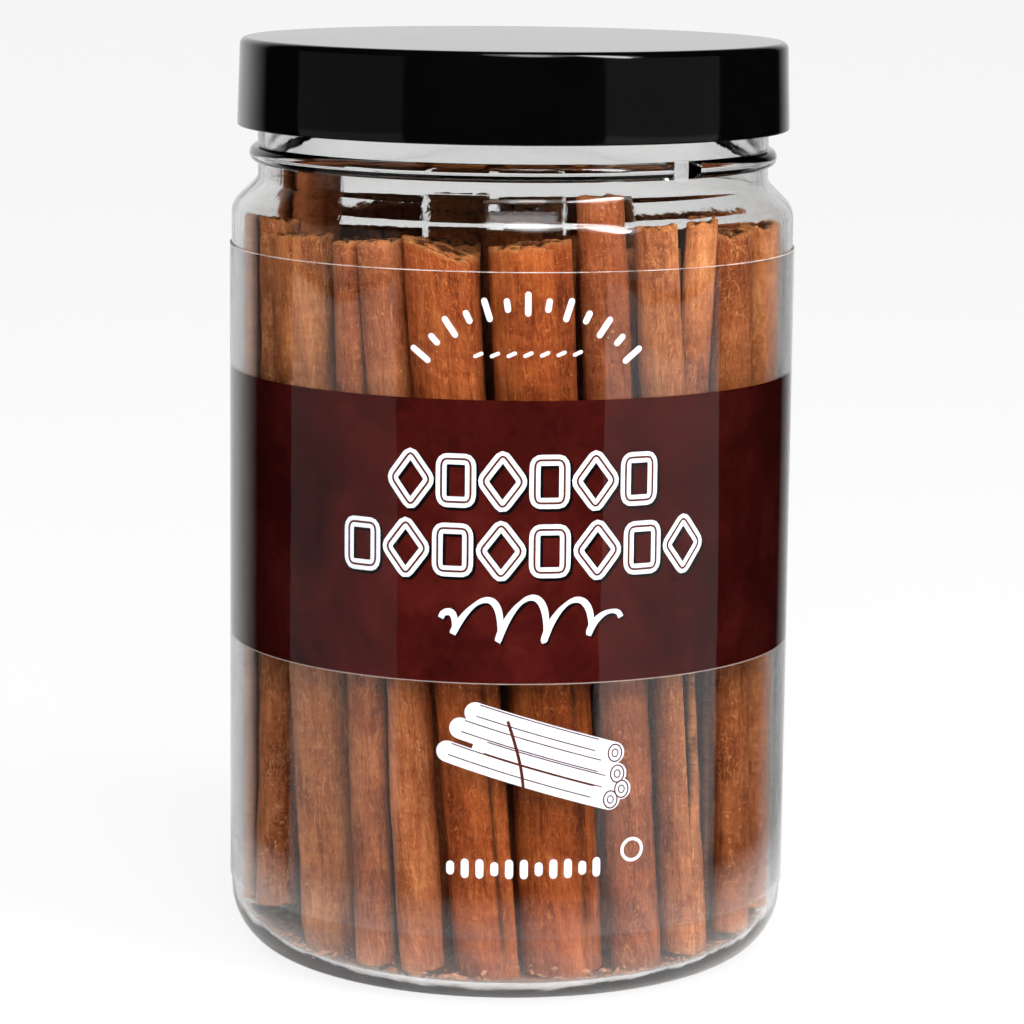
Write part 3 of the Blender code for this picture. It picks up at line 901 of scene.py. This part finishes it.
    origin = Vector((*foot["centre"], foot["z"]))
    axis = (Vector((*top["centre"], top["z"])) - origin).normalized()
    turn = Vector((0, 0, 1)).rotation_difference(axis).to_matrix().to_4x4()
    matrix = Matrix.Translation(origin) @ turn
    inverse = np.array(matrix.inverted())
    local = np.array(verts) @ inverse[:3, :3].T + inverse[:3, 3]
    obj = make_object(name, local, faces)
    obj.matrix_world = matrix
    face_outwards(obj)
    shift = seed * 37.0
    vectors = np.array([(s + shift, y + shift * 0.31, shift * 0.77) for s, y in sheet])
    store(obj, "sheet", "FLOAT_VECTOR", vectors)
    store(obj, "wear_and_painted_shade", "FLOAT_COLOR", np.concatenate([np.array(wear_and_painted_shade), np.ones((len(wear_and_painted_shade), 1))], 1))
    store(obj, "tint", "FLOAT_COLOR", np.tile((*colour, 1.0), (len(verts), 1)))
    obj.data.materials.append(mat)
    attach(obj, "root")
    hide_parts(node.name)
    return obj


def store(obj, name, kind, values):
    layer = obj.data.attributes.new(name, kind, "POINT")
    field = "vector" if kind == "FLOAT_VECTOR" else "color"
    layer.data.foreach_set(field, np.asarray(values, np.float32).ravel())


def make_sticks():
    mat = bark_material()
    rng = np.random.default_rng(11)
    names = sorted(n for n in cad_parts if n.startswith("stick_"))
    for number, name in enumerate(names, start=1):
        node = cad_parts[name]
        double = read_stick(node)[2]
        if name in FRONT_LOOKS:
            look = FRONT_LOOKS[name]
            count, levels = 84, 90
        else:
            shade = rng.uniform(0.75, 1.15)
            # Painted light: stick_19, the tall stick at the back left, gets a much brighter colour so that it looks
            # well lit.
            if name == "stick_19":
                shade = 1.6
            colour = (0.37 * shade, 0.096 * shade, 0.027 * shade)
            turns = 0.0 if double else rng.choice((1.2, 1.3, 1.4))
            bark = rng.uniform(1.1, 1.4) if double else rng.uniform(1.5, 2.0)
            look = (colour, bark, turns, rng.uniform(0, 360), 0.0, 0.0, 0.25, ())
            count, levels = (56, 44) if number <= 20 else (40, 20)
        make_stick(name + "_bark", node, look, count, levels, 100 + number * 5, mat)


# -------------------------------------------------------------------- crumbs

def inside_floor(reach, lift):
    """A point (r, z) on the jar's inside: reach 0 to 1 crosses the floor, 1 to 2 climbs the heel."""
    heel_r = BODY_R - HEEL_WIDTH
    if reach <= 1:
        return heel_r * reach, FLOOR_Z + lift
    slope = math.radians(-90 + 90 * (reach - 1))
    return (heel_r + (HEEL_WIDTH - WALL - lift) * math.cos(slope),
            HEEL_HEIGHT + (HEEL_HEIGHT - FLOOR_Z - lift) * math.sin(slope))


def make_dust():
    """Fine bark dust lying on the floor of the jar and up its heel, with an uneven edge."""
    noise = Noise(41)
    turns, rings = 240, 46
    verts = []
    for layer in (1, 0):
        for j in range(rings):
            for k in range(turns):
                part = j / (rings - 1)
                edge = 1.50 + 0.16 * float(noise(k / 9.0, 3.3)) + 0.10 * float(noise(k / 2.5, 8.1))
                reach = 0.02 + (edge - 0.02) * part
                thick = (0.16 + 0.12 * float(noise(k / 2.2, j / 1.3))) * MM * min(1, (1 - part) * 12)
                r, z = inside_floor(reach, 0.05 * MM + (max(thick, 0.02 * MM) if layer else 0.0))
                angle = 2 * math.pi * k / turns
                verts.append((r * math.sin(angle), -r * math.cos(angle), z))
    faces = []
    under = rings * turns
    for j in range(rings - 1):
        for k in range(turns):
            i = (k + 1) % turns
            a, b, c, d = j * turns + k, j * turns + i, (j + 1) * turns + i, (j + 1) * turns + k
            faces += [(a, b, c, d), (under + a, under + d, under + c, under + b)]
    for k in range(turns):
        i = (k + 1) % turns
        last = (rings - 1) * turns
        faces += [(k, under + k, under + i, i), (last + k, last + i, under + last + i, under + last + k)]
    obj = make_object("dust", verts, faces)
    face_outwards(obj)
    n = Nodes("cinnamon_dust")
    coords = n.add("TexCoord").outputs["Object"]
    tone = n.noise(coords, 1400.0, 5.0, 0.75)
    colour = n.ramp(tone, [(0.3, (0.07, 0.020, 0.007)), (0.5, (0.20, 0.065, 0.022)), (0.7, (0.42, 0.18, 0.075))])
    normal = n.bump(tone, 1.0, 0.0004)
    obj.data.materials.append(n.finish(n.principled(Base_Color=colour, Roughness=0.9, Normal=normal).outputs[0]))
    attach(obj, "root")


def make_crumbs(mat):
    """Loose bits of bark on the floor and along the heel, inside the jar."""
    rng = np.random.default_rng(5)
    verts = []
    faces = []
    corners = np.array([(1, 0, 0), (-1, 0, 0), (0, 1, 0), (0, -1, 0), (0, 0, 1), (0, 0, -1)], float)
    sides = ((0, 2, 4), (2, 1, 4), (1, 3, 4), (3, 0, 4), (2, 0, 5), (1, 2, 5), (3, 1, 5), (0, 3, 5))
    for _ in range(900):
        angle = rng.uniform(0, 2 * math.pi)
        size = rng.uniform(0.12, 0.42) * MM * rng.choice((1.0, 1.0, 1.0, 1.8))
        r, z = inside_floor(0.86 + 0.92 * rng.beta(2.0, 1.9), size * 0.8 + 0.15 * MM)
        centre = np.array((r * math.sin(angle), -r * math.cos(angle), z))
        stretch = np.array((rng.uniform(0.8, 2.6), 1.0, rng.uniform(0.4, 0.9))) * size
        shape = corners * stretch * rng.uniform(0.7, 1.2, (6, 1))
        turn = np.array(Matrix.Rotation(rng.uniform(0, 6.28), 3, "Z") @ Matrix.Rotation(rng.uniform(-0.5, 0.5), 3, "X"))
        start = len(verts)
        verts += list(shape @ turn.T + centre)
        faces += [tuple(start + i for i in side) for side in sides]
    obj = make_object("crumbs", verts, faces, smooth=False)
    face_outwards(obj)
    co = np.array(verts) / MM
    store(obj, "sheet", "FLOAT_VECTOR", co)
    store(obj, "wear_and_painted_shade", "FLOAT_COLOR", np.tile((0.35, 0.0, 0.0, 1.0), (len(verts), 1)))
    store(obj, "tint", "FLOAT_COLOR", np.tile((0.38, 0.12, 0.04, 1.0), (len(verts), 1)))
    obj.data.materials.append(mat)
    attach(obj, "root")


# --------------------------------------------------------- camera and lights

def make_camera():
    """Stands 672 mm in front, a little above the lid, and looks slightly down."""
    camera = bpy.data.cameras.new("camera")
    camera.sensor_width = 36.0
    camera.lens = 141.5
    camera.shift_x = 0.0026
    camera.shift_y = 0.0075
    obj = bpy.data.objects.new("camera", camera)
    bpy.context.scene.collection.objects.link(obj)
    down = math.radians(9.55)
    roll = math.radians(0.601)
    forward = Vector((0, math.cos(down), -math.sin(down)))
    up = Vector((0, math.sin(down), math.cos(down)))
    right = Vector((1, 0, 0))
    right_rolled = right * math.cos(roll) + up * math.sin(roll)
    up_rolled = up * math.cos(roll) - right * math.sin(roll)
    matrix = Matrix((right_rolled, up_rolled, -forward)).transposed().to_4x4()
    matrix.translation = Vector((0.0, -0.672, 0.1854))
    obj.matrix_world = matrix
    bpy.context.scene.camera = obj


def area_light(name, azimuth, elevation, distance, width, height, radiance, glossy=True,
               shape="RECTANGLE", aim=0.08):
    """A soft box seen from the jar at this azimuth from the front and elevation."""
    light = bpy.data.lights.new(name, "AREA")
    light.shape = shape
    light.size = width
    light.size_y = height
    light.energy = radiance * math.pi * width * height
    obj = bpy.data.objects.new(name, light)
    bpy.context.scene.collection.objects.link(obj)
    a, e = math.radians(azimuth), math.radians(elevation)
    target = Vector((0, 0, aim))
    offset = Vector((math.sin(a) * math.cos(e), -math.cos(a) * math.cos(e), math.sin(e))) * distance
    obj.location = target + offset
    obj.rotation_euler = (-offset).to_track_quat("-Z", "Y").to_euler()
    obj.visible_glossy = glossy
    obj.visible_transmission = glossy
    obj.visible_camera = False
    return obj


def make_lights():
    area_light("side_panel_left", -71.5, -19, 0.95, 0.95, 0.50, 0.23)
    area_light("side_panel_left_top", -71.5, 8, 0.95, 0.95, 0.40, 0.10)
    area_light("side_panel_right", 64.5, -19, 0.95, 0.99, 0.50, 0.26)
    area_light("side_panel_right_low", 64.5, -12, 0.97, 0.99, 0.22, 0.16)
    area_light("side_panel_right_top", 64.5, 8, 0.95, 0.99, 0.40, 0.16)
    area_light("front_spot", 47, 44, 1.2, 0.24, 1.0, 9.0, shape="ELLIPSE")
    area_light("front_glow", 47, 44, 1.22, 0.42, 1.2, 1.2, shape="ELLIPSE")
    area_light("top_box", 10, 62, 1.1, 0.50, 0.95, 1.6, shape="ELLIPSE")
    area_light("top_spot", 10, 62, 1.08, 0.24, 0.60, 4.0, shape="ELLIPSE")
    area_light("key", 5, 30, 1.5, 0.7, 0.5, 12.2, glossy=False)


def make_world():
    world = bpy.data.worlds.new("studio")
    bpy.context.scene.world = world
    world.use_nodes = True
    tree = world.node_tree
    tree.nodes.clear()

    def node(kind, **settings):
        made = tree.nodes.new("ShaderNode" + kind)
        for key, value in settings.items():
            setattr(made, key, value)
        return made

    def maths(operation, a, b):
        made = node("Math", operation=operation)
        for socket, value in zip(made.inputs, (a, b)):
            if isinstance(value, bpy.types.NodeSocket):
                tree.links.new(value, socket)
            else:
                socket.default_value = value
        return made.outputs[0]

    path = node("LightPath")
    direction = node("TexCoord").outputs["Generated"]
    parts = node("SeparateXYZ")
    tree.links.new(direction, parts.inputs[0])
    # Reflections and what is seen through the jar: white behind, dark in front
    turned = maths("SUBTRACT", maths("MULTIPLY", parts.outputs["Y"], 0.985),
                   maths("MULTIPLY", parts.outputs["X"], 0.17))
    behind = node("ValToRGB")
    for element, position, level in zip(behind.color_ramp.elements, (0.70, 0.92), (0.004, 1.0)):
        element.position = position
        element.color = (level, level, level, 1)
    tree.links.new(turned, behind.inputs[0])
    reflected = maths("MULTIPLY", path.outputs["Is Glossy Ray"], behind.outputs[0])
    beyond = node("ValToRGB")
    for element, position, level in zip(beyond.color_ramp.elements, (0.58, 0.86), (0.004, 1.0)):
        element.position = position
        element.color = (level, level, level, 1)
    tree.links.new(parts.outputs["Y"], beyond.inputs[0])
    through = maths("MULTIPLY", path.outputs["Is Transmission Ray"], beyond.outputs[0])
    backdrop = maths("MAXIMUM", reflected, through)
    diffuse = maths("MULTIPLY", path.outputs["Is Diffuse Ray"], 0.6)
    strength = maths("ADD", maths("MAXIMUM", path.outputs["Is Camera Ray"], backdrop), diffuse)
    background = node("Background")
    tree.links.new(strength, background.inputs["Strength"])
    output = node("OutputWorld")
    tree.links.new(background.outputs[0], output.inputs[0])


def make_floor():
    """A pale floor. Reflections look past it to the soft boxes."""
    size = 6.0
    floor = make_object("floor", [(-size, -size, 0), (size, -size, 0), (size, size, 0), (-size, size, 0)],
                        [(0, 1, 2, 3)], smooth=False)
    floor.location.z = -0.0002
    n = Nodes("floor_paper")
    path = n.add("LightPath")
    coords = n.add("TexCoord").outputs["Object"]
    tone = n.ramp(n.noise(coords, 300.0, 3.0), [(0.3, (0.86, 0.86, 0.855)), (0.7, (0.89, 0.89, 0.885))])
    paper = n.principled(Base_Color=tone, Roughness=0.9)
    glow = n.add("Emission")
    glow.inputs["Strength"].default_value = 1.0
    split = n.add("SeparateXYZ")
    n.link(coords, split.inputs[0])
    beyond = n.ramp(n.math("MULTIPLY", n.math("ADD", split.outputs["Y"], 0.1), 4.0, clamp=True),
                    [(0.0, 0.12), (1.0, 1.0)])
    reach = n.add("VectorMath", operation="LENGTH")
    n.link(coords, reach.inputs[0])
    near = n.math("MULTIPLY", n.math("SUBTRACT", 0.12, reach.outputs["Value"]), 16.0, clamp=True)
    around = n.math("MULTIPLY", path.outputs["Is Transmission Ray"], n.math("MAXIMUM", beyond, n.math("MULTIPLY", near, 0.45)))
    seen = n.math("MAXIMUM", path.outputs["Is Camera Ray"], around)
    half = n.add("MixShader")
    n.link(n.math("MULTIPLY", seen, 0.86), half.inputs[0])
    n.link(paper.outputs[0], half.inputs[1])
    n.link(glow.outputs[0], half.inputs[2])
    hollow = n.add("BsdfTransparent")
    mix = n.add("MixShader")
    n.link(n.math("MULTIPLY", path.outputs["Is Glossy Ray"], n.math("SUBTRACT", 1.0, near)), mix.inputs[0])
    n.link(half.outputs[0], mix.inputs[1])
    n.link(hollow.outputs[0], mix.inputs[2])
    floor.data.materials.append(n.finish(mix.outputs[0]))


make_camera()
make_world()
make_lights()
make_floor()
make_jar()
make_lid()
make_label()
make_sticks()
make_dust()
make_crumbs(bpy.data.materials["cinnamon_bark"])
bpy.context.scene.view_settings.view_transform = "Standard"
cycles = bpy.context.scene.cycles
cycles.adaptive_threshold = 0.15
cycles.max_bounces = 8
cycles.transmission_bounces = 8
cycles.diffuse_bounces = 2
cycles.glossy_bounces = 2
